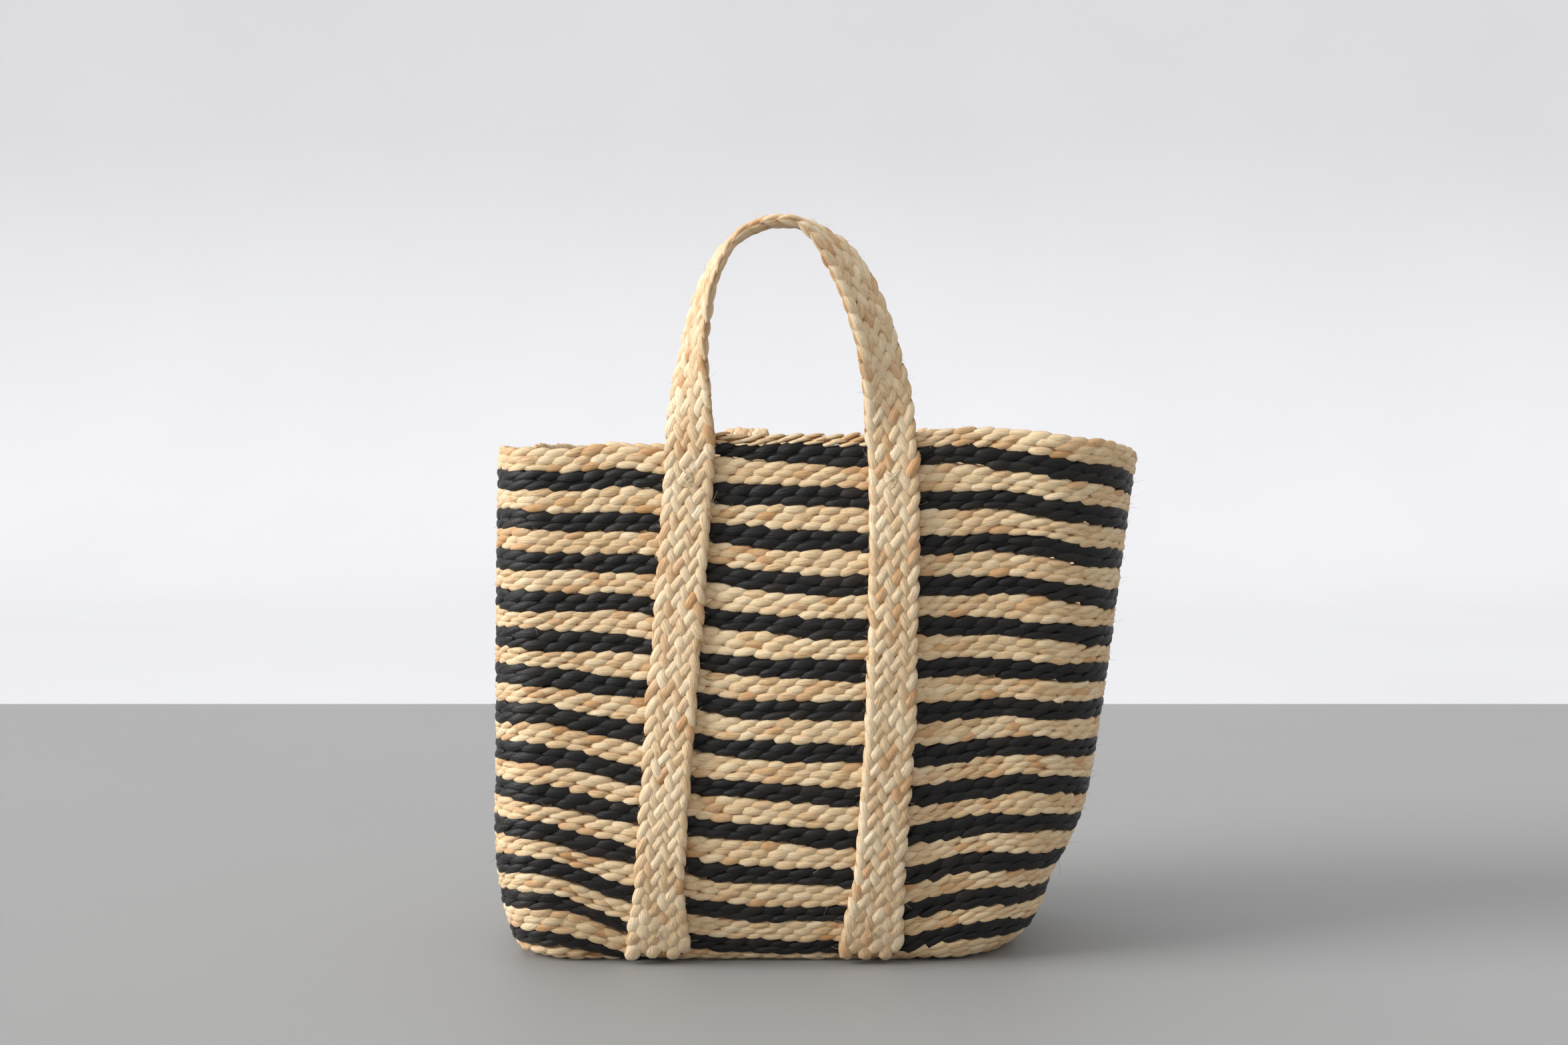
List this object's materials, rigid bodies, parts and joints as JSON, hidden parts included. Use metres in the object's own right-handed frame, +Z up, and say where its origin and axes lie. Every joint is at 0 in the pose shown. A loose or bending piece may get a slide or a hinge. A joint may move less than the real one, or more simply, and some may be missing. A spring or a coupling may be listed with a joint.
{
  "type": "woven market basket",
  "caption": "Soft oval market basket of flat braids in natural and black jute, wound and sewn edge to edge, with two strap handles sewn down the wall that stand up or fold down.",
  "frame": {"origin": "centre of the underside of the base", "axes": "+Z up; -Y is the front, where the handle that stands up is; +X to the right, the way the rim leans"},
  "size_m": [0.4242, 0.2913, 0.473],
  "materials": {
    "natural_jute": "braided natural jute, straw coloured, soft fibre sheen",
    "black_jute": "braided black-dyed jute, soft silky sheen",
    "strap_jute": "wide flat plait of natural jute, straw coloured",
    "thread": "off-white twisted sewing thread"
  },
  "bodies": {
    "basket": {"base_core": "natural_jute", "base_turn_1": "black_jute", "base_turn_2": "natural_jute", "base_turn_3": "black_jute", "base_turn_4": "natural_jute", "base_turn_5": "black_jute", "natural_turn_01": "natural_jute", "black_turn_01": "black_jute", "natural_turn_02": "natural_jute", "black_turn_02": "black_jute", "natural_turn_03": "natural_jute", "black_turn_03": "black_jute", "natural_turn_04": "natural_jute", "black_turn_04": "black_jute", "natural_turn_05": "natural_jute", "black_turn_05": "black_jute", "natural_turn_06": "natural_jute", "black_turn_06": "black_jute", "natural_turn_07": "natural_jute", "black_turn_07": "black_jute", "natural_turn_08": "natural_jute", "black_turn_08": "black_jute", "natural_turn_09": "natural_jute", "black_turn_09": "black_jute", "natural_turn_10": "natural_jute", "black_turn_10": "black_jute", "natural_turn_11": "natural_jute", "black_turn_11": "black_jute", "natural_turn_12": "natural_jute", "black_turn_12": "black_jute", "rim_turn": "natural_jute", "front_left_strap": "strap_jute", "front_right_strap": "strap_jute", "rear_left_strap": "strap_jute", "rear_right_strap": "strap_jute", "front_stitches": "thread", "rear_stitches": "thread"},
    "front_handle": {"front_handle": "strap_jute"},
    "rear_handle": {"rear_handle": "strap_jute"}
  },
  "joints": [
    {"name": "front_handle_fold", "type": "hinge", "parent": "basket", "child": "front_handle", "pos_m": [0.03, -0.1163, 0.332], "axis": [1, 0, 0], "range_deg": [-40, 170]},
    {"name": "rear_handle_fold", "type": "hinge", "parent": "basket", "child": "rear_handle", "pos_m": [0.03, 0.1163, 0.332], "axis": [1, 0, 0], "range_deg": [0, 208]}
  ]
}
